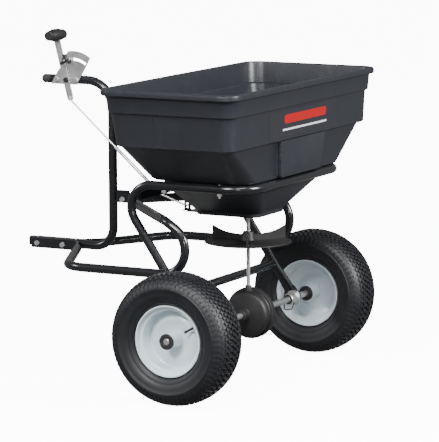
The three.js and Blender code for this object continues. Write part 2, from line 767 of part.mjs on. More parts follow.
function guideRail(side) {
  const middle = side * 47.75;
  const lipMiddle = side * 41.5;
  return join(
    box(GUIDE.front, GUIDE.rear, middle - 3.25, middle + 3.25, GUIDE.bottom, GUIDE.top),
    box(GUIDE.front, GUIDE.rear, lipMiddle - 3.5, lipMiddle + 3.5, GUIDE.bottom, GUIDE.lip),
  );
}

const guideStop = box(22, GUIDE.rear, -45, 45, GUIDE.bottom, GUIDE.top);
add('gate_guide', join(guideRail(-1), guideRail(1), guideStop), blackPlastic);

// ---------------------------------------------------------------- flow lever, quadrant, stop

const platePlane = -FRAME_TUBE / 2 - FIT_GAP;       // far face of the quadrant plate
const PLATE_THICKNESS = 3;
const ARC_OUTER = 87.5;
const slotStart = THREE.MathUtils.degToRad(-7);
const slotEnd = THREE.MathUtils.degToRad(31);

// A point on an arc about the slot's centre, the angle measured from straight up toward +X.
function slotPoint(radius, angle) {
  return [SLOT.x + radius * Math.sin(angle), SLOT.z + radius * Math.cos(angle)];
}

const outerArc = [];
const SLOT_STEPS = 8;
const arcStart = THREE.MathUtils.degToRad(-10);
const arcEnd = THREE.MathUtils.degToRad(36);
for (let i = 0; i <= SLOT_STEPS; i += 1) {
  outerArc.push(slotPoint(ARC_OUTER, arcEnd + ((arcStart - arcEnd) * i) / SLOT_STEPS));
}
const quadrantOutline = outlineOf([
  [-566, 728],
  [-489, 728],
  ...outerArc,
  [-522, 801],
  [-526, 776],
  [-543, 767],
]);
const slotHalf = 3.6;
const slotExtra = 0.07;          // radians past the stop screw's centre at each end
const slotOuter = [];
const slotInner = [];
for (let i = 0; i <= SLOT_STEPS; i += 1) {
  const sweep = slotEnd - slotStart + 2 * slotExtra;
  const angle = slotStart - slotExtra + (sweep * i) / SLOT_STEPS;
  slotOuter.push(slotPoint(SLOT.radius + slotHalf, angle));
  slotInner.push(slotPoint(SLOT.radius - slotHalf, angle));
}
quadrantOutline.holes.push(outlineOf([...slotInner, ...slotOuter.toReversed()]));
const quadrantPlate = plate(quadrantOutline, platePlane, PLATE_THICKNESS);
add('quadrant_plate', cut(
  quadrantPlate,
  holeAlongY(PIVOT.x, PIVOT.z),
  ...QUADRANT_BOLTS.map((x) => holeAlongY(x, HANDLE_Z)),
), zinc);

const quadrantGrip = FRAME_TUBE + 2 * FIT_GAP + PLATE_THICKNESS + FIT_GAP;
QUADRANT_BOLTS.forEach((x, i) => {
  add(`quadrant_bolt_${i + 1}`, boltWithNut(BOLT_RADIUS, quadrantGrip), zinc,
    vec(x, -(PLATE_THICKNESS + FIT_GAP) / 2, HANDLE_Z));
});

// The lever is drawn upright about its pivot and then leaned forward.
const leverOutline = new THREE.Shape();
leverOutline.absarc(0, -46.5, 9, Math.PI, 2 * Math.PI);
leverOutline.lineTo(9, 112);
leverOutline.lineTo(-9, 112);
const LEVER_THICKNESS = 3;
const leverGroup = new THREE.Group();
leverGroup.position.set(PIVOT.x, 0, PIVOT.z);
machine.add(leverGroup);
const leverBlank = plate(leverOutline, LEVER_PLANE + LEVER_THICKNESS, LEVER_THICKNESS).rotateY(-LEVER_LEAN);
add('flow_lever', cut(
  leverBlank,
  holeAlongY(0, 0),
  holeAlongY(ROD_PIN.x - PIVOT.x, ROD_PIN.z - PIVOT.z, 3.2),
), zinc, vec(0, 0, 0), leverGroup);

const gripOutside = turned([
  [0, -39],
  [11, -39],
  [13, -35],
  [16.5, -12],
  [16.5, 12],
  [13, 35],
  [11, 39],
  [0, 39],
], 14);
const gripSlot = plate(outlineOf([[-9.4, -20], [9.4, -20], [9.4, 2.6], [-9.4, 2.6]]), 1.9, 3.8);
const GRIP_HEIGHT = 119;
const gripGeometry = cut(gripOutside, gripSlot).rotateY(-LEVER_LEAN);
const gripPlace = vec(0, LEVER_PLANE + LEVER_THICKNESS / 2, GRIP_HEIGHT);
gripPlace.applyAxisAngle(Y_AXIS, -LEVER_LEAN);
add('lever_grip', gripGeometry, blackPlastic, gripPlace, leverGroup);

const pivotGrip = -LEVER_PLANE + FRAME_TUBE / 2 + 2 * FIT_GAP;
add('lever_pivot_bolt', boltWithNut(BOLT_RADIUS, pivotGrip), blackPlastic,
  vec(PIVOT.x, (LEVER_PLANE + FRAME_TUBE / 2) / 2, PIVOT.z));

const [stopX, stopZ] = slotPoint(SLOT.radius, slotStart);
add('stop_screw', turned([
  [0, -48],
  [3, -48],
  [3, platePlane + FIT_GAP],
  [6.5, platePlane + FIT_GAP],
  [6.5, platePlane + 4],
  [0, platePlane + 4],
], 8), zinc, vec(stopX, 0, stopZ));
const knobParts = [turned([[3.4, -46], [8, -46], [8, -33], [3.4, -33], [3.4, -46]], 12)];
const KNOB_LOBES = 3;
for (let i = 0; i < KNOB_LOBES; i += 1) {
  const lobe = plate(outlineOf([[5, -3.6], [15.5, -3.6], [15.5, 3.6], [5, 3.6]]), -34, 11);
  knobParts.push(lobe.rotateY(0.35 + (2 * Math.PI * i) / KNOB_LOBES));
}
add('stop_knob', join(...knobParts), blackPlastic, vec(stopX, 0, stopZ));

// ---------------------------------------------------------------- control rod to the gate

const rodBend = vec(-240, ROD_PLANE, 461);
add('control_rod', bentTube(2 * ROD_RADIUS, [
  vec(ROD_PIN.x, -13, ROD_PIN.z),
  vec(ROD_PIN.x, ROD_PLANE, ROD_PIN.z),
  rodBend,
  vec(GATE_PIN.x, ROD_PLANE, GATE_PIN.z),
  vec(GATE_PIN.x, -13, GATE_PIN.z),
], [5, 20, 5], 6, 3), zinc);

const rodTop = vec(ROD_PIN.x, ROD_PLANE, ROD_PIN.z);
const rodHeading = rodBend.clone().sub(rodTop).normalize();
const SLEEVE_LENGTH = 150;
const sleeve = turned([
  [ROD_RADIUS + 0.4, -SLEEVE_LENGTH / 2],
  [4.5, -SLEEVE_LENGTH / 2],
  [4.5, SLEEVE_LENGTH / 2],
  [ROD_RADIUS + 0.4, SLEEVE_LENGTH / 2],
  [ROD_RADIUS + 0.4, -SLEEVE_LENGTH / 2],
], 10);
sleeve.applyQuaternion(new THREE.Quaternion().setFromUnitVectors(Y_AXIS, rodHeading));
add('rod_sleeve', sleeve, zinc, rodTop.clone().addScaledVector(rodHeading, 258));

export default spreader;
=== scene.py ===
from math import cos, pi, radians, sin, tan

import bmesh
import bpy
from mathutils import Euler, Matrix, Vector


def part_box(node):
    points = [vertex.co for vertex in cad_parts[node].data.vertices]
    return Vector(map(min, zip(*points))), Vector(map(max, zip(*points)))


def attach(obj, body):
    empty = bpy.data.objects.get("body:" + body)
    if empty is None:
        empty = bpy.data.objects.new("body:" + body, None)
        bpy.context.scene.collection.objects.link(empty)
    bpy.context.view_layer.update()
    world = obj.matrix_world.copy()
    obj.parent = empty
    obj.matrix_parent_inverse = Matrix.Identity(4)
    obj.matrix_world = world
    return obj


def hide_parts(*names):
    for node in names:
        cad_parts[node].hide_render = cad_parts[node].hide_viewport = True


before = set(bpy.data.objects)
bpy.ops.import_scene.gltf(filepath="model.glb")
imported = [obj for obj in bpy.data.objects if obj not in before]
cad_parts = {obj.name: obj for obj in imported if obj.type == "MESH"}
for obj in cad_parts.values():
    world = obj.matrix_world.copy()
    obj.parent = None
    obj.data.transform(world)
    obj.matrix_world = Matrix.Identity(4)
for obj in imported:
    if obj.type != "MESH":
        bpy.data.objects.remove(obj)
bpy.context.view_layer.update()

# Camera. A long lens, a little above the wheels' height, that looks forward along the
# machine from its rear near corner.
camera_data = bpy.data.cameras.new("camera")
camera_data.lens = 244.3
camera_data.clip_end = 60
camera = bpy.data.objects.new("camera", camera_data)
camera.location = (3.6472, -6.6858, 1.5181)
camera.rotation_euler = Euler((radians(90 - 8.453), radians(0.21), radians(27.571)))
bpy.context.scene.collection.objects.link(camera)
bpy.context.scene.camera = camera


# Studio. A wide pale floor that runs into a white surround, with large soft lights above,
# beside and behind the machine.
class Value:
    """A shader socket, or a sum of them, that takes part in ordinary arithmetic."""

    def __init__(self, finish, socket):
        self.finish = finish
        self.socket = socket

    def sum(self, operation, first, second):
        return self.finish.node("ShaderNodeMath", {"operation": operation}, {0: first, 1: second})

    def __add__(self, other):
        return self.sum("ADD", self, other)

    def __radd__(self, other):
        return self.sum("ADD", other, self)

    def __mul__(self, other):
        return self.sum("MULTIPLY", self, other)

    def __rmul__(self, other):
        return self.sum("MULTIPLY", other, self)


class Finish:
    """A material built round one Principled shader."""

    def __init__(self, name, **fixed):
        self.material = bpy.data.materials.new(name)
        self.material.use_nodes = True
        self.tree = self.material.node_tree
        self.shader = self.tree.nodes["Principled BSDF"]
        for socket, value in fixed.items():
            self.shader.inputs[socket.replace("_", " ").title()].default_value = value
        self.place = self.node("ShaderNodeTexCoord", output="Object")

    def node(self, kind, settings=None, sockets=None, output=0):
        made = self.tree.nodes.new(kind)
        for key, value in (settings or {}).items():
            if key == "stops":
                first, last = made.color_ramp.elements
                first.position, last.position = value
            else:
                setattr(made, key, value)
        for key, value in (sockets or {}).items():
            self.feed(made.inputs[key], value)
        return Value(self, made.outputs[output])

    def feed(self, socket, value):
        if isinstance(value, Value):
            self.tree.links.new(value.socket, socket)
        else:
            socket.default_value = value

    def noise(self, size, detail=3.0):
        """Cloudy noise, 0 to 1, whose blotches are about one size across, in metres."""
        sockets = {"Vector": self.place, "Scale": 1 / size, "Detail": detail}
        return self.node("ShaderNodeTexNoise", sockets=sockets)

    def pebbles(self, size):
        """Rounded grains of one size, 0 in their middles."""
        sockets = {"Vector": self.place, "Scale": 1 / size}
        return self.node("ShaderNodeTexVoronoi", {"feature": "SMOOTH_F1"}, sockets)

    def between(self, value, low, high):
        """A value stretched so that low becomes 0 and high becomes 1."""
        return self.node("ShaderNodeValToRGB", {"stops": (low, high)}, {"Fac": value})

    def blend(self, amount, first, second):
        sockets = {0: amount, 6: (*first, 1), 7: (*second, 1)}
        return self.node("ShaderNodeMix", {"data_type": "RGBA"}, sockets, output=2)

    def relief(self, height, depth, strength=1.0):
        sockets = {"Height": height, "Distance": depth, "Strength": strength}
        return self.node("ShaderNodeBump", sockets=sockets)

    def wear(self, **sockets):
        for socket, value in sockets.items():
            self.feed(self.shader.inputs[socket.replace("_", " ").title()], value)
        return self


backdrop = Finish("backdrop_paint", roughness=0.9, emission_strength=11.0)
backdrop.wear(base_color=backdrop.blend(backdrop.noise(3.0), (0.9, 0.9, 0.9), (0.94, 0.94, 0.94)))
backdrop.wear(emission_color=backdrop.blend(backdrop.noise(3.0), (0.98, 0.98, 0.98), (1, 1, 1)))
floor_bm = bmesh.new()
bmesh.ops.create_grid(floor_bm, x_segments=8, y_segments=8, size=14)
floor_mesh = bpy.data.meshes.new("floor")
floor_bm.to_mesh(floor_mesh)
floor_bm.free()
floor_mesh.materials.append(backdrop.material)
floor = bpy.data.objects.new("floor", floor_mesh)
bpy.context.scene.collection.objects.link(floor)
floor.visible_diffuse = False
floor.visible_glossy = False

surround = bpy.data.worlds.new("surround")
surround.use_nodes = True
surround_tree = surround.node_tree
surround_light = surround_tree.nodes["Background"]
surround_light.inputs["Color"].default_value = (1, 1, 1, 1)
seen = surround_tree.nodes.new("ShaderNodeLightPath")
surround_strength = surround_tree.nodes.new("ShaderNodeMix")
surround_strength.inputs[2].default_value = 0.24
surround_strength.inputs[3].default_value = 14.0
surround_tree.links.new(seen.outputs["Is Camera Ray"], surround_strength.inputs[0])
surround_tree.links.new(surround_strength.outputs[0], surround_light.inputs["Strength"])
bpy.context.scene.world = surround


def softbox(name, place, aim, width, power):
    light = bpy.data.lights.new(name, "AREA")
    light.shape = "RECTANGLE"
    light.size = width
    light.size_y = width * 0.7
    light.energy = power
    lamp = bpy.data.objects.new(name, light)
    lamp.location = place
    lamp.rotation_euler = (Vector(aim) - Vector(place)).to_track_quat("-Z", "Y").to_euler()
    bpy.context.scene.collection.objects.link(lamp)


softbox("top_light", (1.5, -1.6, 3.0), (0.2, 0, 0.6), 1.8, 110)
softbox("rear_light", (3.9, 0.2, 2.1), (0.2, 0, 0.6), 1.4, 290)
softbox("near_light", (0.2, -4.2, 2.9), (0.1, -0.2, 0.5), 1.4, 230)
softbox("corner_light", (2.6, -3.4, 1.2), (0.4, -0.4, 0.5), 0.5, 26)
softbox("front_light", (-3.4, -2.2, 2.2), (0, -0.2, 0.4), 1.2, 60)

# Frame tubes. Round steel tube, bent cold on a mandrel and powder coated gloss black. Each
# end that takes a bolt is pressed flat, and the drawbar's nose is formed square.
axle_low, axle_high = (Vector(corner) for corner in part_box("axle"))
axle_x = (axle_low.x + axle_high.x) / 2
DRAWBAR_HEIGHT = 309
NOSE_HEIGHT = 310.2
HANDLE_HEIGHT = 740
HANDLE_END = -572
POST_PLACE = -392
TUBE = 23


def at(x, y, z):
    """A point in millimetres from the ground under the middle of the axle."""
    return Vector((axle_x + x / 1000, y / 1000, z / 1000))


def mm(size):
    return size / 1000


def circle(bm, sides, radius, place=Matrix.Identity(4)):
    """Adds a circle and returns its vertices in order round it."""
    made = bmesh.ops.create_circle(bm, segments=sides, radius=radius, matrix=place)["verts"]
    ring = [made[0]]
    edge = made[0].link_edges[0]
    while len(ring) < sides:
        ring.append(edge.other_vert(ring[-1]))
        edge = next(e for e in ring[-1].link_edges if e != edge)
    return ring


def grow(bm, ring):
    """Extrudes a closed ring of vertices and returns the new ring in the same order."""
    edges = [bm.edges.get(pair) for pair in zip(ring, ring[1:] + ring[:1])]
    made = bmesh.ops.extrude_edge_only(bm, edges=edges)["geom"]
    fresh = {v for v in made if isinstance(v, bmesh.types.BMVert)}
    return [next(e.other_vert(v) for e in v.link_edges if e.other_vert(v) in fresh) for v in ring]


def bend_tube(bm, diameter, corners, radii, sides=24, steps=10):
    """Adds a tube and returns its rings as (vertices, centre, heading)."""
    runs = [(b - a).normalized() for a, b in zip(corners, corners[1:])]
    start = Matrix.Translation(corners[0]) @ runs[0].to_track_quat("Z", "Y").to_matrix().to_4x4()
    ring = circle(bm, sides, mm(diameter) / 2, start)
    here = corners[0].copy()
    rings = [(ring, here, runs[0])]
    for corner, before, after, radius in zip(corners[1:-1], runs, runs[1:], radii):
        turn = before.angle(after)
        setback = mm(radius) * tan(turn / 2)
        bend_start = corner - before * setback
        ring = grow(bm, ring)
        bmesh.ops.translate(bm, vec=bend_start - here, verts=ring)
        rings.append((ring, bend_start, before))
        here = bend_start
        if turn > 0.001:
            axis = before.cross(after).normalized()
            centre = bend_start + axis.cross(before) * mm(radius)
            for step in range(1, steps + 1):
                ring = grow(bm, ring)
                part = Matrix.Rotation(turn / steps, 3, axis)
                bmesh.ops.rotate(bm, cent=centre, matrix=part, verts=ring)
                whole = Matrix.Rotation(turn * step / steps, 3, axis)
                here = centre + whole @ (bend_start - centre)
                rings.append((ring, here, whole @ before))
    ring = grow(bm, ring)
    bmesh.ops.translate(bm, vec=corners[-1] - here, verts=ring)
    rings.append((ring, corners[-1], runs[-1]))
    return rings


def press_flat(ring, thickness, height, amount=1.0):
    """Squeezes a ring toward a flat bar that stands upright."""
    verts, centre, heading = ring
    across = heading.cross(Vector((0, 0, 1))).normalized()
    upward = across.cross(heading)
    reach = max((v.co - centre).length for v in verts)
    for v in verts:
        side = (v.co - centre).dot(across)
        rise = (v.co - centre).dot(upward)
        flat_side = max(-mm(thickness) / 2, min(mm(thickness) / 2, side))
        flat_rise = rise * mm(height) / 2 / reach
        v.co = centre + across * (side + (flat_side - side) * amount)
        v.co += upward * (rise + (flat_rise - rise) * amount)


def press_square(ring, thickness, height):
    """Forms a ring to a square section with small corners."""
    verts, centre, heading = ring
    across = heading.cross(Vector((0, 0, 1))).normalized()
    upward = across.cross(heading)
    reach = max((v.co - centre).length for v in verts)
    for v in verts:
        side = (v.co - centre).dot(across) / reach
        rise = (v.co - centre).dot(upward) / reach
        spread = min(1 / max(abs(side), abs(rise)), 1.3)
        side = max(-1, min(1, side * spread))
        rise = max(-1, min(1, rise * spread))
        v.co = centre + across * side * mm(thickness) / 2 + upward * rise * mm(height) / 2


def block(bm, low, high):
    """Adds a rectangular block between two corners and returns its vertices."""
    middle = (low + high) / 2
    size = Matrix.Diagonal((*(high - low), 1))
    return bmesh.ops.create_cube(bm, size=1, matrix=Matrix.Translation(middle) @ size)["verts"]


def piece(name, bm, finish, body, replaced=(), edge=None, smooth=32):
    """Turns a bmesh into a finished piece that rides on a body."""
    bmesh.ops.remove_doubles(bm, verts=bm.verts, dist=1e-6)
    bmesh.ops.holes_fill(bm, edges=bm.edges)
    bmesh.ops.recalc_face_normals(bm, faces=bm.faces)
    mesh = bpy.data.meshes.new(name)
    bm.to_mesh(mesh)
    bm.free()
    mesh.shade_smooth()
    mesh.set_sharp_from_angle(angle=radians(smooth))
    mesh.materials.append(finish.material)
    made = bpy.data.objects.new(name, mesh)
    bpy.context.scene.collection.objects.link(made)
    if edge:
        rounding = made.modifiers.new("rounded_edges", "BEVEL")
        rounding.width = mm(edge)
        rounding.segments = 2
        rounding.limit_method = "ANGLE"
        rounding.angle_limit = radians(smooth)
    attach(made, body)
    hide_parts(*replaced)
    return made


powder_coat = Finish("gloss_black_powder_coat", coat_weight=0.35, coat_roughness=0.12)
coat_cloud = powder_coat.noise(0.06)
coat_peel = powder_coat.noise(0.0022, 2)
powder_coat.wear(
    base_color=powder_coat.blend(coat_cloud, (0.005, 0.0055, 0.007), (0.010, 0.011, 0.013)),
    roughness=0.20 + 0.08 * coat_cloud,
    normal=powder_coat.relief(coat_peel, 0.0001, 0.12),
)

post_bm = bmesh.new()
post_rings = bend_tube(post_bm, TUBE, [
    at(-641, 0, NOSE_HEIGHT), at(-492, 0, NOSE_HEIGHT), at(-474, 0, DRAWBAR_HEIGHT),
    at(POST_PLACE, 0, DRAWBAR_HEIGHT), at(POST_PLACE, 0, HANDLE_HEIGHT),
    at(HANDLE_END, 0, HANDLE_HEIGHT),
], [0, 0, 52, 72], steps=14)
for post_ring in post_rings[:2]:
    press_square(post_ring, TUBE, 23.5)
block(post_bm, at(-396, -3, 427), at(-344, 3, 459))
piece("drawbar_and_post", post_bm, powder_coat, "chassis", ["drawbar_post"], edge=0.8)

SIDES = ((-1, "near"), (1, "far"))
RAIL_REACH = 290
for side, name in SIDES:
    rail_bm = bmesh.new()
    reach = side * RAIL_REACH
    rail_rings = bend_tube(rail_bm, TUBE, [
        at(-630, side * 14.9, 307.5), at(-492, side * 14.9, 307.5),
        at(-468, side * 58, 306.6), at(-364, reach, 303), at(-26, reach, 303),
        at(-26, reach, 400), at(-79, reach, 435), at(-318, side * 33, 436),
        at(-334, side * 7.2, 439), at(-377, side * 6.4, 443),
    ], [16, 0, 75, 62, 64, 38, 0, 10], steps=12)
    for rail_ring in rail_rings[:14]:
        press_flat(rail_ring, 6, 27)
    for rail_ring in rail_rings[-14:]:
        press_flat(rail_ring, 6, 25)
    piece(f"{name}_side_rail", rail_bm, powder_coat, "chassis", [f"{name}_side_tube"])

# Hopper cradle. One long tube bent into both legs and the four sides of the rail that the
# hopper sits on, with feet pressed flat round the axle and a straight tube between the legs.
AXLE_HEIGHT = 165
CRADLE_TUBE = 22
CRADLE_REACH = 265
CRADLE_HEIGHT = 519
CRADLE_FRONT, CRADLE_REAR = -240, 138
LEG_SLOPE = (CRADLE_HEIGHT - AXLE_HEIGHT) / CRADLE_FRONT
LEG_LEAN = 0.5957


def leg(x, side):
    """A point on a leg's middle line."""
    return at(x, side * CRADLE_REACH, AXLE_HEIGHT + x * LEG_SLOPE)


cradle_bm = bmesh.new()
cradle_rings = bend_tube(cradle_bm, CRADLE_TUBE, [
    leg(-8, -1), leg(-52, -1),
    at(CRADLE_FRONT, -CRADLE_REACH, CRADLE_HEIGHT), at(CRADLE_REAR, -CRADLE_REACH, CRADLE_HEIGHT),
    at(CRADLE_REAR, CRADLE_REACH, CRADLE_HEIGHT), at(CRADLE_FRONT, CRADLE_REACH, CRADLE_HEIGHT),
    leg(-52, 1), leg(-8, 1),
], [0, 57, 76, 76, 57, 0], steps=14)


def drilled_foot(bm, side):
    """A flat round-ended foot about the axle, drilled for the bush."""
    lean = Matrix.Rotation(-LEG_LEAN, 4, "Y")
    upright = Matrix.Rotation(pi / 2, 4, "X")
    outline, hole = (
        bmesh.ops.create_circle(bm, segments=40, radius=mm(radius), matrix=upright)["verts"]
        for radius in (18, 12.5))
    for v in outline:
        if v.co.z > 0:
            v.co.z = v.co.z * 3.2
            v.co.x = v.co.x * (1 if v.co.z < mm(30) else 0.72)
    rim = [e for v in outline + hole for e in v.link_edges]
    fill = bmesh.ops.triangle_fill(bm, use_beauty=True, edges=list(set(rim)))["geom"]
    faces = [f for f in fill if isinstance(f, bmesh.types.BMFace)]
    raised = bmesh.ops.extrude_face_region(bm, geom=faces)["geom"]
    top = [v for v in raised if isinstance(v, bmesh.types.BMVert)]
    bmesh.ops.translate(bm, vec=(0, mm(6), 0), verts=top)
    whole = outline + hole + top
    bmesh.ops.translate(bm, vec=(0, mm(-3), 0), verts=whole)
    bmesh.ops.transform(bm, matrix=Matrix.Translation(leg(0, side)) @ lean, verts=whole)


for foot_side in (-1, 1):
    drilled_foot(cradle_bm, foot_side)
for cradle_ring in (cradle_rings[0], cradle_rings[-1]):
    press_flat(cradle_ring, 5.6, 30)
piece("hopper_cradle_tube", cradle_bm, powder_coat, "chassis", ["hopper_cradle"])

CROSS_REACH = 253.6
cross_bm = bmesh.new()
bend_tube(cross_bm, CRADLE_TUBE, [at(-58.3, -CROSS_REACH, 251), at(-58.3, CROSS_REACH, 251)], [],
          sides=32)
piece("leg_cross_tube", cross_bm, powder_coat, "chassis", ["cross_tube"], edge=0.8)

bar_bm = bmesh.new()
block(bar_bm, at(-174, -CROSS_REACH, 478), at(-170, CROSS_REACH, 506))
piece("front_flat_bar", bar_bm, powder_coat, "chassis", ["front_cross_bar"], edge=0.8)

# Handle cap. A soft brownish black plug pressed over the open end of the handle.
rubber = Finish("matt_black_rubber")
rubber_dust = rubber.noise(0.018)
rubber.wear(
    base_color=rubber.blend(rubber_dust, (0.016, 0.015, 0.015), (0.030, 0.028, 0.027)),
    roughness=0.66 + 0.2 * rubber_dust,
    normal=rubber.relief(rubber.noise(0.0012), 0.0002, 0.4),
)


def turn(bm, outline, centre, axis, closed=True, steps=48):
    """Spins an outline of (radius, distance along the axis) pairs, in millimetres."""
    axis = Vector(axis).normalized()
    across = axis.orthogonal().normalized()
    chain = [bm.verts.new(centre + across * mm(r) + axis * mm(a)) for r, a in outline]
    ends = chain[1:] + (chain[:1] if closed else [])
    edges = [bm.edges.new(pair) for pair in zip(chain, ends)]
    bmesh.ops.spin(bm, geom=chain + edges, cent=centre, axis=axis, angle=2 * pi, steps=steps,
                   use_merge=True, use_duplicate=False)


cap_bm = bmesh.new()
turn(cap_bm, [(0, 0.4), (11.5, 0.4), (11.5, 20), (9.5, 24.5), (5, 26), (0, 26)],
     at(HANDLE_END, 0, HANDLE_HEIGHT), (-1, 0, 0), closed=False, steps=32)
piece("handle_end_cap", cap_bm, rubber, "chassis", ["handle_cap"], edge=0.5)

# Bolts. Zinc plated hexagon bolts with washers and nuts: two through the drawbar, one
# through the rear tabs, two in the quadrant, and four down through the cradle's rails.
zinc = Finish("bright_zinc_plate", metallic=0.95)
zinc_spangle = zinc.pebbles(0.006)
zinc_haze = zinc.noise(0.02)
zinc.wear(
    base_color=zinc.blend(zinc_haze, (0.62, 0.63, 0.63), (0.84, 0.84, 0.82)),
    roughness=0.26 + 0.12 * zinc_spangle + 0.1 * zinc_haze,
    normal=zinc.relief(zinc.noise(0.001), 0.0001, 0.25),
)


def hexagon(bm, centre, axis, radius, low, high):
    """A hexagonal head or nut with chamfered corners, between two distances on an axis."""
    axis = Vector(axis).normalized()
    turn(bm, [(0, low), (radius * 0.9, low), (radius, low + 0.6), (radius, high - 0.6),
              (radius * 0.9, high), (0, high)], centre, axis, closed=False, steps=6)


def bolt(name, centre, axis, radius, low, high, node, finish=zinc):
    """Head below low and nut above high, with a washer under each."""
    bm = bmesh.new()
    axis = Vector(axis).normalized()
    head = radius * 1.7
    hexagon(bm, centre, axis, head, low - radius * 1.1, low - 0.8)
    hexagon(bm, centre, axis, head, high + 0.8, high + radius * 1.1)
    turn(bm, [(0, low - 0.8), (head * 1.02, low - 0.8), (head * 1.02, low), (radius, low),
              (radius, high), (head * 1.02, high), (head * 1.02, high + 0.8), (0, high + 0.8)],
         centre, axis, closed=False, steps=24)
    piece(name, bm, finish, "chassis", [node], smooth=25)


for bolt_x, bolt_name in ((-613, "drawbar_bolt_front"), (-536, "drawbar_bolt_rear")):
    bolt(bolt_name + "_hex", at(bolt_x, 0, 306.5), (0, 1, 0), 4, -18.3, 18.3, bolt_name)
bolt("brace_bolt_hex", at(-360, 0, 436), (0, 1, 0), 4, -9.8, 9.8, "brace_bolt")
for number, bolt_x in ((1, -549), (2, -492)):
    bolt(f"quadrant_bolt_{number}_hex", at(bolt_x, 0, HANDLE_HEIGHT), (0, 1, 0), 4, -15.3, 11.9,
         f"quadrant_bolt_{number}")
for side, name in SIDES:
    for number, bolt_x in ((1, -97), (2, 57)):
        rail_bolt_bm = bmesh.new()
        centre = at(bolt_x, side * CRADLE_REACH, 0)
        hexagon(rail_bolt_bm, centre, (0, 0, 1), 6.6, 501.8, 507.2)
        turn(rail_bolt_bm, [(0, 496.6), (2.6, 496.6), (3, 497.4), (3, 501.8), (3, 506.8),
                            (7, 506.8), (7, 507.6), (3, 507.6), (3, 530), (0, 530)],
             centre, (0, 0, 1), closed=False, steps=20)
        piece(f"{name}_rail_bolt_{number}", rail_bolt_bm, zinc, "chassis",
              [f"{name}_hopper_bolt_{number}"], smooth=25)

# Axle and bearings. A zinc plated bar turns in nylon bushes inside pressed housings on the
# leg feet, and black wire clips through it keep it from creeping sideways.
nylon = Finish("satin_black_nylon")
nylon.wear(
    base_color=nylon.blend(nylon.noise(0.01), (0.012, 0.012, 0.013), (0.022, 0.022, 0.024)),
    roughness=0.42 + 0.12 * nylon.noise(0.004),
    normal=nylon.relief(nylon.noise(0.0008), 0.0001, 0.3),
)
AXLE_CENTRE = at(0, 0, AXLE_HEIGHT)
axle_bm = bmesh.new()
turn(axle_bm, [(0, -438), (7, -438), (8, -437), (8, 437), (7, 438), (0, 438)],
     AXLE_CENTRE, (0, 1, 0), closed=False, steps=32)
piece("axle_bar", axle_bm, zinc, "drive_axle", ["axle"])
for side, name in SIDES:
    out = (0, side, 0)
    housing_bm = bmesh.new()
    turn(housing_bm, [(12.6, 261.6), (19.4, 261.6), (20, 261), (20, 258.4), (19.4, 257.8),
                      (16.4, 257.6), (15, 256), (15, 227), (14, 225.6), (12.6, 225.6)],
         AXLE_CENTRE, out, steps=40)
    piece(f"{name}_bearing_sleeve", housing_bm, zinc, "chassis",
          [f"{name}_bearing_housing"])
    bush_bm = bmesh.new()
    turn(bush_bm, [(8.5, 274), (16.2, 274), (17, 273.2), (17, 268.5), (12, 268.5),
                   (12, 227.6), (8.5, 227.6)], AXLE_CENTRE, out, steps=40)
    piece(f"{name}_axle_bearing", bush_bm, nylon, "chassis", [f"{name}_axle_bush"])
    clip_bm = bmesh.new()
    bend_tube(clip_bm, 3.4, [
        at(0, side * 206, 187), at(0, side * 206, 141), at(14, side * 224, 141),
        at(16, side * 230, 159),
    ], [4, 5], sides=12, steps=5)
    piece(f"{name}_wire_clip", clip_bm, nylon, "drive_axle",
          [f"{name}_axle_clip"])

# Tyres. Two turf tyres on a round carcass. Rows of moulded blocks cross the tread, with
# longer bars round each shoulder that run a little way down the sidewall.
tyre_rubber = Finish("turf_tyre_rubber")
tyre_dust = tyre_rubber.noise(0.03)
tyre_grit = tyre_rubber.noise(0.0015)
tyre_rubber.wear(
    base_color=tyre_rubber.blend(tyre_dust, (0.004, 0.0045, 0.006), (0.010, 0.011, 0.014)),
    roughness=0.40 + 0.22 * tyre_dust,
    normal=tyre_rubber.relief(tyre_grit, 0.0003, 0.35),
)
WHEEL_REACH = 385
WHEELS = ((-1, "near", "near_wheel"), (1, "far", "drive_axle"))
# The sidewall and half the crown, from the bead out: (radius, distance from the middle)
CARCASS = [
    (82, 29), (88.6, 36), (89.6, 40), (91, 46), (94, 50.5), (99, 53.5), (104, 54.4), (106, 56.4),
    (110, 58.4), (118, 60.4), (126, 61.4), (128, 62.6), (130.6, 62.6), (132, 61.0), (138, 59.6),
    (144, 56.4), (149, 51.6), (153, 45), (156.4, 36), (158.6, 25), (159.8, 12),
]


def tread_block(bm, centre, around, across, radius, tilt, size, skew):
    """One tapered block. Its size is (along the tread, across it, height)."""
    lug = bmesh.ops.create_cube(bm, size=1)["verts"]
    for v in lug:
        narrow = 0.8 if v.co.z > 0 else 1.0
        v.co *= Vector((narrow * mm(size[0]), narrow * mm(size[1]), mm(size[2])))
    place = Matrix.Rotation(around, 4, "Y") @ Matrix.Translation((0, mm(across), mm(radius)))
    place = Matrix.Translation(centre) @ place @ Matrix.Rotation(tilt, 4, "X")
    bmesh.ops.transform(bm, matrix=place @ Matrix.Rotation(skew, 4, "Z"), verts=lug)


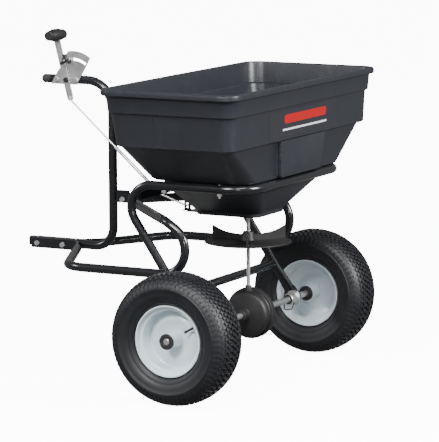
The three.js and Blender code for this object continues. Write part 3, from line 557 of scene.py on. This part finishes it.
# Along the tread: (distance from the middle, radius, tilt, size, skew, phase)
TREAD_ROWS = [
    (0, 161.8, 0, (10.4, 7.8, 6), 0.45, 0.0),
    (9.6, 161.4, 0.06, (10.2, 7.6, 6), -0.45, 0.5),
    (19.0, 160.4, 0.13, (10.2, 7.6, 6), 0.45, 0.0),
    (28.2, 158.3, 0.24, (10.0, 7.6, 6), -0.45, 0.5),
    (37.0, 155.4, 0.38, (10.0, 7.6, 6), 0.4, 0.0),
    (45.2, 151.3, 0.60, (9.4, 8.0, 6), -0.2, 0.5),
    (52.8, 145.6, 0.92, (7.6, 10.5, 6.4), 0.1, 0.0),
    (58.2, 137.8, 1.28, (6.4, 13, 4.6), 0.0, 0.0),
]
BLOCKS_AROUND = 70
for side, name, wheel_body in WHEELS:
    centre = at(0, side * WHEEL_REACH, AXLE_HEIGHT)
    tyre_bm = bmesh.new()
    turn(tyre_bm, CARCASS + [(r, -a) for r, a in reversed(CARCASS)], centre, (0, 1, 0), steps=120)
    for distance, radius, tilt, size, skew, phase in TREAD_ROWS:
        for hand in ((1,) if distance == 0 else (1, -1)):
            for count in range(BLOCKS_AROUND):
                around = 2 * pi * (count + phase + (0.25 if hand < 0 else 0)) / BLOCKS_AROUND
                tread_block(tyre_bm, centre, around, hand * distance, radius, -hand * tilt,
                            size, hand * skew)
    piece(f"{name}_turf_tyre", tyre_bm, tyre_rubber, wheel_body, [f"{name}_tyre"])

# Rims. Pressed steel in pale blue-grey enamel: a rolled edge, a deep well, a dished web and
# a hub tube that holds a black bush at each end. The rubber valve stem stands in the dish.
rim_enamel = Finish("pale_blue_grey_enamel", coat_weight=0.3, coat_roughness=0.1)
rim_haze = rim_enamel.noise(0.05)
rim_enamel.wear(
    base_color=rim_enamel.blend(rim_haze, (0.62, 0.72, 0.77), (0.72, 0.80, 0.84)),
    roughness=0.30 + 0.12 * rim_haze,
    normal=rim_enamel.relief(rim_enamel.noise(0.003), 0.0002, 0.2),
)
OUTER_RIM = [
    (20, 2), (24, 1.2), (34, 3.4), (44, 6.8), (49, 8.6), (52, 8.2), (60, 3.6), (67, -0.4),
    (71, -2.4), (73, -1.2), (73.5, 3), (73.7, 30), (74.6, 33.4), (77, 35.0), (81.6, 36.2),
    (83.0, 38.4), (84.0, 45), (85, 47), (86.8, 47.5), (88.4, 47.0), (88.8, 45.4), (88.0, 41),
    (87.5, 37), (86, 35), (80, 33.0), (78, 31), (77.5, 27),
]
INNER_RIM = [
    (77.5, -27), (78, -31), (80, -33.0), (86, -35), (87.5, -37), (88.0, -41), (88.8, -45.4),
    (88.4, -47.0), (86.8, -47.5), (85, -47), (84.0, -45), (83.0, -38.4), (81.6, -36.2),
    (77, -35.0), (74.6, -33.4), (73.7, -30), (73.5, -9), (72.6, -5.4), (70, -5.2), (60, 0.2),
    (51, 4.4), (48.5, 4.6), (44, 3.0), (34, -0.4), (24, -2.6), (20, -2), (19.4, -6),
    (19.4, -48), (12.4, -48), (12.4, 48), (19.4, 48), (19.4, 6),
]
HUB_BUSH = [(8.5, 30), (12, 30), (12, 48.4), (18.6, 48.4), (19.5, 49.2), (19.5, 51.6),
            (18.4, 52.4), (11, 52.4), (10.2, 51.4), (8.5, 51.4)]
for side, name, wheel_body in WHEELS:
    centre = at(0, side * WHEEL_REACH, AXLE_HEIGHT)
    out = Vector((0, side, 0))
    rim_bm = bmesh.new()
    turn(rim_bm, OUTER_RIM + INNER_RIM, centre, out, steps=96)
    piece(f"{name}_pressed_rim", rim_bm, rim_enamel, wheel_body, [f"{name}_rim"])
    for bush_side, place in ((1, "outer"), (-1, "inner")):
        bush_bm = bmesh.new()
        turn(bush_bm, HUB_BUSH, centre, out * bush_side, steps=40)
        piece(f"{name}_{place}_wheel_bush", bush_bm, nylon, wheel_body,
              [f"{name}_hub_bush_{place}"])
    valve_bm = bmesh.new()
    angle = radians(-31 * side)
    root = centre + Vector((mm(70) * cos(angle), side * mm(16), mm(70) * sin(angle)))
    lean = Vector((-cos(angle), side * 0.31, -sin(angle)))
    turn(valve_bm, [(0, 0), (5.4, 0), (5.4, 2.4), (4.4, 4.6), (3, 7), (2.8, 22), (3.4, 22.6),
                    (3.4, 29), (2.6, 30), (0, 30)], root, lean, closed=False, steps=20)
    piece(f"{name}_valve_stem", valve_bm, rubber, wheel_body, [f"{name}_valve"])

# Gearbox. Two moulded halves round the axle, joined by a flange with screws, and a neck that
# carries the upright shaft. The bevel gears inside keep their plain shape.
black_plastic = Finish("satin_black_moulding")
moulding_cloud = black_plastic.noise(0.03)
black_plastic.wear(
    base_color=black_plastic.blend(moulding_cloud, (0.005, 0.005, 0.0055), (0.009, 0.009, 0.010)),
    roughness=0.45 + 0.15 * moulding_cloud,
    normal=black_plastic.relief(black_plastic.pebbles(0.0012), 0.0002, 0.3),
)
gear_steel = Finish("machined_gear_steel", metallic=0.9)
gear_steel.wear(
    base_color=gear_steel.blend(gear_steel.noise(0.004), (0.30, 0.31, 0.32), (0.42, 0.42, 0.42)),
    roughness=0.30 + 0.2 * gear_steel.noise(0.002),
    normal=gear_steel.relief(gear_steel.noise(0.0006), 0.0001, 0.3),
)
for gear in ("drive_gear", "pinion"):
    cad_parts[gear].data.materials.clear()
    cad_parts[gear].data.materials.append(gear_steel.material)
near_case_bm = bmesh.new()
turn(near_case_bm, [
    (8.8, -46), (14.2, -46), (15, -45), (15, -25), (17, -23), (50, -20.2), (55, -18.6),
    (58, -15), (59, -11), (59, 3.4), (60.4, 5.4), (65.2, 6), (66, 7), (66, 13.8), (63, 13.8),
    (56, 6), (56, -13), (51, -17), (8.8, -20),
], AXLE_CENTRE, (0, 1, 0), steps=64)
turn(near_case_bm, [(5.3, 210), (8, 210), (8, 236.6), (7.2, 238), (5.3, 238)],
     at(0, 0, 0), (0, 0, 1), steps=32)
turn(near_case_bm, [(9, 217), (12.4, 217), (12.4, 226), (10, 229), (8, 229)],
     at(0, 0, 0), (0, 0, 1), steps=32)
for count in range(6):
    screw = Matrix.Rotation(pi / 3 * (count + 0.5), 3, "Y") @ Vector((0, 0, mm(62.5)))
    turn(near_case_bm, [(0, 4.2), (2.4, 4.2), (3, 4.8), (3, 7), (0, 7)], AXLE_CENTRE + screw,
         (0, 1, 0), closed=False, steps=16)
piece("gearbox_near_half", near_case_bm, black_plastic, "chassis",
      ["gearbox_near_case"])
far_case_bm = bmesh.new()
turn(far_case_bm, [
    (8.8, 27), (56, 24.5), (63, 20), (63, 14.2), (66, 14.2), (66, 21), (65, 22.4), (59, 26.6),
    (56, 28), (17, 30.4), (15, 32), (15, 43), (14, 44), (8.8, 44),
], AXLE_CENTRE, (0, 1, 0), steps=64)
piece("gearbox_far_half", far_case_bm, black_plastic, "chassis",
      ["gearbox_far_case"])

# Impeller. A moulded disc on a tapered hub, with three upright vanes that rise toward the
# edge. It is fixed on the zinc shaft that also carries the wire agitator in the hopper.
impeller_bm = bmesh.new()
turn(impeller_bm, [(5.2, 349), (110, 349), (111, 350), (111, 351.4), (110.2, 352.2),
                   (22, 352.6), (18.5, 354), (16.6, 358), (14.2, 375), (13.4, 376), (5.2, 376)],
     at(0, 0, 0), (0, 0, 1), steps=96)
DISC_HEIGHT = 349
VANE = [(9, 1), (107, 1), (107, 36), (97, 32.6), (88, 28), (76, 24.4), (66, 22), (52, 20.2),
        (38, 19), (9, 19)]
for count in range(3):
    sheet = [impeller_bm.verts.new((mm(x), mm(-1.5), mm(z))) for x, z in VANE]
    vane_face = impeller_bm.faces.new(sheet)
    raised = bmesh.ops.extrude_face_region(impeller_bm, geom=[vane_face])["geom"]
    top = [v for v in raised if isinstance(v, bmesh.types.BMVert)]
    bmesh.ops.translate(impeller_bm, vec=(0, mm(3), 0), verts=top)
    spoke = Matrix.Rotation(radians(55 + 120 * count), 4, "Z")
    spoke = Matrix.Translation(at(0, 0, DISC_HEIGHT)) @ spoke
    bmesh.ops.transform(impeller_bm, matrix=spoke, verts=sheet + top)
piece("impeller_disc", impeller_bm, black_plastic, "spinner", ["impeller"],
      edge=0.5)

shaft_bm = bmesh.new()
turn(shaft_bm, [(0, 202), (4.2, 202), (4.75, 202.6), (4.75, 448.4), (4.2, 449), (0, 449)],
     at(0, 0, 0), (0, 0, 1), closed=False, steps=28)
piece("impeller_upright_shaft", shaft_bm, zinc, "spinner", ["impeller_shaft"])

agitator_bm = bmesh.new()
turn(agitator_bm, [(5.15, 440), (8.4, 440), (9, 440.6), (9, 448.4), (8.4, 449), (5.15, 449)],
     at(0, 0, 0), (0, 0, 1), steps=28)
for hand in (-1, 1):
    bend_tube(agitator_bm, 4, [at(hand * 7, 0, 445), at(hand * 26, 0, 445), at(hand * 42, 0, 458)],
              [8], sides=14, steps=6)
piece("wire_agitator", agitator_bm, zinc, "spinner", ["agitator"])

# Hopper. A deep open box moulded in dark grey plastic: a rolled lip, two stepped bands, then
# sides that slope in to a seat on the cradle. A panel is raised on its rear wall.
hopper_plastic = Finish("dark_grey_textured_moulding")
hopper_cloud = hopper_plastic.noise(0.12)
hopper_grain = hopper_plastic.pebbles(0.0011)
hopper_scuff = hopper_plastic.between(hopper_plastic.noise(0.03, 6), 0.56, 0.72)
hopper_plastic.wear(
    base_color=hopper_plastic.blend(
        hopper_cloud, (0.012, 0.0135, 0.0175), (0.0165, 0.018, 0.023)),
    roughness=0.33 + 0.08 * hopper_cloud + 0.08 * hopper_scuff,
    normal=hopper_plastic.relief(hopper_grain, 0.00025, 0.45),
)


def lay_level(ring, z, front, rear, half, radius):
    """Moves a ring of vertices onto a level rectangle with rounded corners."""
    quarter = len(ring) // 4
    for count, v in enumerate(ring):
        corner, step = divmod(count, quarter)
        angle = (corner + step / (quarter - 1)) * pi / 2
        x = rear - radius if corner in (0, 3) else front + radius
        y = half - radius if corner in (0, 1) else radius - half
        v.co = at(x + radius * cos(angle), y + radius * sin(angle), z)


def shell(bm, levels, sides=48, closed=True):
    """A skin through a list of levels (z, front, rear, half, radius)."""
    rings = [circle(bm, sides, 0.1)]
    lay_level(rings[0], *levels[0])
    for level in levels[1:]:
        rings.append(grow(bm, rings[-1]))
        lay_level(rings[-1], *level)
    if closed:
        ends = [e for ring in (rings[0], rings[-1]) for v in ring for e in v.link_edges
                if e.is_boundary]
        bmesh.ops.bridge_loops(bm, edges=list(set(ends)))
    return rings


# Levels of the skin, up the outside and down the inside: (z, front, rear, half, radius)
HOPPER_OUTSIDE = [
    (508.4, -146, 124, 240, 90), (531.4, -146, 124, 240, 90), (531.4, -147, 134, 262, 52),
    (533.4, -149.6, 136.6, 265.4, 50), (538, -151, 137.6, 270.4, 49),
    (622.0, -166.6, 139.0, 378.4, 38), (625.4, -168.6, 140.6, 383.4, 38),
    (626.2, -172, 150.0, 388, 37), (628.0, -174, 152, 390, 36), (704, -185.4, 154.8, 396, 38),
    (708.2, -186.4, 155.4, 396.9, 38), (708.7, -190.6, 158.6, 400.6, 39),
    (710.6, -192.6, 160.6, 402.6, 40), (747.0, -196.2, 163.8, 406.2, 42),
    (750.4, -197.4, 164.8, 407.4, 42), (751.0, -205.0, 171.0, 415.5, 46),
    (752.6, -207.4, 173.4, 417.9, 48), (760, -208, 174, 418.5, 48),
    (764.2, -207.2, 173.2, 417.7, 47.4), (766.2, -204.8, 170.8, 415.3, 45),
    (766.5, -202, 168, 412.5, 43),
]
HOPPER_INSIDE = [
    (766.2, -197.0, 164, 407, 39), (764.4, -194.4, 161.6, 404.4, 38),
    (760, -193.2, 160.4, 403.2, 37.6), (712.5, -188.6, 156.6, 398.6, 36),
    (711.0, -184, 153.0, 395, 35), (709, -182.2, 151.2, 392.8, 34),
    (632, -170.2, 148.2, 386.4, 32), (630, -166, 139, 381, 33), (628, -164, 135.4, 378.4, 34),
    (538, -147.4, 133.4, 264, 45), (535.4, -144, 130, 258, 48), (535.4, -142.6, 121, 238, 86),
    (534.0, -142, 120, 236, 86), (508.4, -142, 120, 236, 86),
]
hopper_bm = bmesh.new()
hopper_rings = shell(hopper_bm, HOPPER_OUTSIDE + HOPPER_INSIDE, sides=64)
# A shallow panel is pressed into each side wall's upper band.
for wall_side in ((15, 16), (47, 48)):
    corners = {hopper_rings[level][corner] for level in (8, 9) for corner in wall_side}
    band = next(f for f in hopper_bm.faces if set(f.verts) == corners)
    for cut_at, cut_normal in ((at(-59, 0, 704), (1, 0, 0.21)), (at(22, 0, 704), (1, 0, -0.04))):
        parts = bmesh.ops.bisect_plane(hopper_bm, geom=band.verts[:] + band.edges[:] + [band],
                                       plane_co=cut_at, plane_no=cut_normal)["geom"]
        faces = [f for f in parts if isinstance(f, bmesh.types.BMFace)]
        band = min(faces, key=lambda f: abs(f.calc_center_median().x - at(-16, 0, 0).x))
    bmesh.ops.inset_individual(hopper_bm, faces=[band], thickness=mm(1.6), depth=mm(-1.6))
piece("hopper_moulding", hopper_bm, hopper_plastic, "chassis", ["hopper"])

panel_bm = bmesh.new()
panel_rings = [circle(panel_bm, 48, 0.1)]
# From the wall out: (x, low z, high z, half width at the bottom, flare at the top, radius)
PANEL_LEVELS = [
    (135, 534.4, 625.0, 115, 36, 7), (138, 534.4, 625, 115, 36, 7),
    (139.4, 534.4, 625.0, 113.2, 33, 6), (148.6, 534.4, 625.0, 112.2, 31, 5),
    (149.7, 535.2, 625, 111.4, 30, 4.6), (150, 536.4, 625, 110.2, 29, 4),
]
for count, (x, low, high, half, flare, radius) in enumerate(PANEL_LEVELS):
    if count:
        panel_rings.append(grow(panel_bm, panel_rings[-1]))
    for step_count, v in enumerate(panel_rings[-1]):
        corner, step = divmod(step_count, 12)
        angle = (corner + step / 11) * pi / 2
        y = half - radius if corner in (0, 3) else radius - half
        z = high - 2 if corner in (0, 1) else low + radius
        y += radius * cos(angle)
        z += (2 if corner in (0, 1) else radius) * sin(angle)
        lift = max(0, (z - 585) / 40)
        v.co = at(x, y + (flare * lift * lift if y > 0 else 0), z)
piece("hopper_rear_panel", panel_bm, hopper_plastic, "chassis")

# Label. A dark satin film on the rear band with a plain red bar and a thin pale rule, and
# no lettering.
label_film = Finish("dark_satin_label_film")
label_film.wear(
    base_color=label_film.blend(
        label_film.noise(0.02), (0.014, 0.015, 0.019), (0.018, 0.019, 0.024)),
    roughness=0.30 + 0.1 * label_film.noise(0.01),
    normal=label_film.relief(label_film.noise(0.004), 0.0001, 0.2),
)
label_red = Finish("red_label_ink")
label_red.wear(
    base_color=label_red.blend(label_red.noise(0.01), (0.30, 0.001, 0.002), (0.38, 0.002, 0.003)),
    roughness=0.34 + 0.08 * label_red.noise(0.005),
    normal=label_red.relief(label_red.noise(0.003), 0.0001, 0.2),
)
label_pale = Finish("pale_label_ink")
label_pale.wear(
    base_color=label_pale.blend(label_pale.noise(0.01), (0.55, 0.56, 0.58), (0.66, 0.67, 0.68)),
    roughness=0.36 + 0.08 * label_pale.noise(0.005),
    normal=label_pale.relief(label_pale.noise(0.003), 0.0001, 0.2),
)


BAND_FOOT, BAND_HEAD = (152, 628), (154.8, 704)


def sticker(name, finish, low_y, high_y, low_z, high_z, lift, radius):
    """A thin film with rounded corners that lies on the sloped rear band."""
    lean = (BAND_HEAD[0] - BAND_FOOT[0]) / (BAND_HEAD[1] - BAND_FOOT[1])
    bm = bmesh.new()
    corners = [bm.verts.new((y, z, 0)) for y, z in (
        (low_y, low_z), (high_y, low_z), (high_y, high_z), (low_y, high_z))]
    bm.faces.new(corners)
    bmesh.ops.bevel(bm, geom=corners, offset=radius, segments=6, profile=0.5, affect="VERTICES",
                    material=-1)
    bmesh.ops.solidify(bm, geom=bm.faces[:], thickness=0.3)
    for v in bm.verts:
        skin = BAND_FOOT[0] + (v.co.y - BAND_FOOT[1]) * lean
        v.co = at(skin + lift + v.co.z, v.co.x, v.co.y)
    piece(name, bm, finish, "chassis")


sticker("label_panel", label_film, -186, 186, 634, 702, 0.45, 5)
sticker("label_red_bar", label_red, -104, 132, 668, 690, 0.8, 9)
sticker("label_pale_rule", label_pale, -112, 136, 650.5, 655.5, 0.8, 2)

# Lower hopper. A funnel in the same plastic, flanged where it meets the hopper, with a floor
# that has the outlet and a hole for the shaft's bush.
funnel_bm = bmesh.new()
funnel_rings = shell(funnel_bm, [
    (428, -109.6, 63.6, 80.6, 25), (423.9, -110.0, 64.0, 81.0, 25),
    (423.5, -111.4, 65.4, 82.4, 26.4), (424.2, -112.8, 66.8, 83.8, 27.8),
    (432.5, -113, 67, 84, 28), (436.0, -114.2, 69.0, 91.0, 31),
    (503.0, -141.6, 118.4, 231.4, 93), (504.5, -142.4, 119.4, 234.6, 94.2),
    (504.6, -145.2, 123.0, 239, 97),
    (506, -146, 124, 240, 98), (507.3, -145.4, 123.4, 239.4, 97.6), (507.5, -144, 122, 238, 96.4),
    (507.5, -140, 117, 232, 92), (504.5, -139, 116, 231, 91), (436.2, -112, 67, 88.0, 29),
    (431.0, -110, 64, 81, 25),
], sides=64, closed=False)
openings = []
for shape in ("outlet", "shaft"):
    rim = circle(funnel_bm, 32, mm(10.2))
    if shape == "outlet":
        lay_level(rim, 431, -62, -22, 35, 4)
    else:
        bmesh.ops.translate(funnel_bm, vec=at(0, 0, 431), verts=rim)
    under = grow(funnel_bm, rim)
    bmesh.ops.translate(funnel_bm, vec=(0, 0, mm(-3)), verts=under)
    openings.append((rim, under))
for floor_ring, holes in ((funnel_rings[-1], [top for top, under in openings]),
                          (funnel_rings[0], [under for top, under in openings])):
    loops = [floor_ring] + holes
    rims = [funnel_bm.edges.get(pair) for loop in loops for pair in zip(loop, loop[1:] + loop[:1])]
    bmesh.ops.triangle_fill(funnel_bm, use_beauty=True, edges=rims)
piece("lower_hopper_funnel", funnel_bm, hopper_plastic, "chassis",
      ["lower_hopper"])


def ease(name, node, finish, body, edge):
    """A merged copy of a plain pressed or cut node, with its sharp edges eased."""
    bm = bmesh.new()
    bm.from_mesh(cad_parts[node].data)
    bmesh.ops.remove_doubles(bm, verts=bm.verts, dist=1e-6)
    bmesh.ops.dissolve_limit(bm, angle_limit=radians(1), verts=bm.verts, edges=bm.edges)
    return piece(name, bm, finish, body, [node], edge=edge, smooth=40)


ease("sliding_gate", "flow_gate", powder_coat, "gate", 0.3)
ease("gate_rails", "gate_guide", black_plastic, "chassis", 0.4)
ease("shaft_bearing", "shaft_bush", nylon, "chassis", 0.3)

# Flow control. A zinc quadrant on the handle with a slot for the stop, a lever with a ribbed
# black grip, a three-lobed knob, and a long rod in a sleeve that works the gate.
ease("quadrant", "quadrant_plate", zinc, "chassis", 0.35)
ease("lever_blade", "flow_lever", zinc, "lever", 0.35)
bolt("lever_pivot_hex", at(-518, -4.25, HANDLE_HEIGHT), (0, 1, 0), 4, -16.15, 16.15,
     "lever_pivot_bolt", black_plastic)
grip_low, grip_high = (Vector(corner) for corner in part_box("lever_grip"))
grip_bm = bmesh.new()
turn(grip_bm, [(0, -39), (10.4, -39), (12.0, -37.8), (12.6, -34), (12.2, -30), (13.6, -27),
               (15.4, -16), (16.5, -11), (16.5, 11), (15.4, 16), (13.6, 27), (12.2, 30),
               (12.6, 34), (12.0, 37.8), (10.4, 39), (0, 39)],
     (grip_low + grip_high) / 2, (0, 1, 0), closed=False, steps=48)
piece("lever_handle_grip", grip_bm, black_plastic, "lever", ["lever_grip"])

stop_low, stop_high = (Vector(corner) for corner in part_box("stop_screw"))
stop_centre = (stop_low + stop_high) / 2
stop_centre.y = 0
screw_bm = bmesh.new()
turn(screw_bm, [(0, -48), (2.6, -48), (3, -47.4), (3, -11.5), (6, -11.5), (6.5, -11), (6.5, -8.4),
                (6, -7.9), (0, -7.9)], stop_centre, (0, 1, 0), closed=False, steps=24)
piece("stop_screw_shank", screw_bm, zinc, "stop", ["stop_screw"])

knob_bm = bmesh.new()
turn(knob_bm, [(3.4, -46), (7, -46), (8, -45), (8, -34), (7.4, -33), (3.4, -33)], stop_centre,
     (0, 1, 0), steps=32)
for count in range(3):
    lobe = bmesh.ops.create_cube(knob_bm, size=1)["verts"]
    bmesh.ops.scale(knob_bm, vec=(mm(10.5), mm(11), mm(7.2)), verts=lobe)
    bmesh.ops.translate(knob_bm, vec=(mm(10.25), mm(-39.5), 0), verts=lobe)
    spoke = Matrix.Rotation(0.35 + 2 * pi * count / 3, 4, "Y")
    bmesh.ops.transform(knob_bm, matrix=Matrix.Translation(stop_centre) @ spoke, verts=lobe)
piece("stop_knob_moulding", knob_bm, black_plastic, "stop", ["stop_knob"],
      edge=1.6)

LEVER_PIN_X, LEVER_PIN_Z = -506.5, 695
GATE_PIN_X, GATE_PIN_Z = -163, 435
rod_top = at(LEVER_PIN_X, -27, LEVER_PIN_Z)
rod_bend = at(-240, -27, 461)
rod_bm = bmesh.new()
bend_tube(rod_bm, 5, [
    at(LEVER_PIN_X, -13, LEVER_PIN_Z), rod_top, rod_bend, at(GATE_PIN_X, -27, GATE_PIN_Z),
    at(GATE_PIN_X, -13, GATE_PIN_Z),
], [5, 20, 5], sides=16, steps=8)
turn(rod_bm, [(2.6, -1), (4.6, -1), (5, -0.4), (5, 1), (2.6, 1.2)],
     at(LEVER_PIN_X, -16.0, LEVER_PIN_Z), (0, 1, 0), steps=20)
piece("gate_control_rod", rod_bm, zinc, "rod", ["control_rod"])

sleeve_bm = bmesh.new()
rod_run = (rod_bend - rod_top).normalized()
turn(sleeve_bm, [(2.9, -75), (4, -75), (4.5, -74), (4.5, 74), (4, 75), (2.9, 75)],
     rod_top + rod_run * mm(258), rod_run, steps=24)
piece("rod_guard_sleeve", sleeve_bm, zinc, "rod", ["rod_sleeve"])
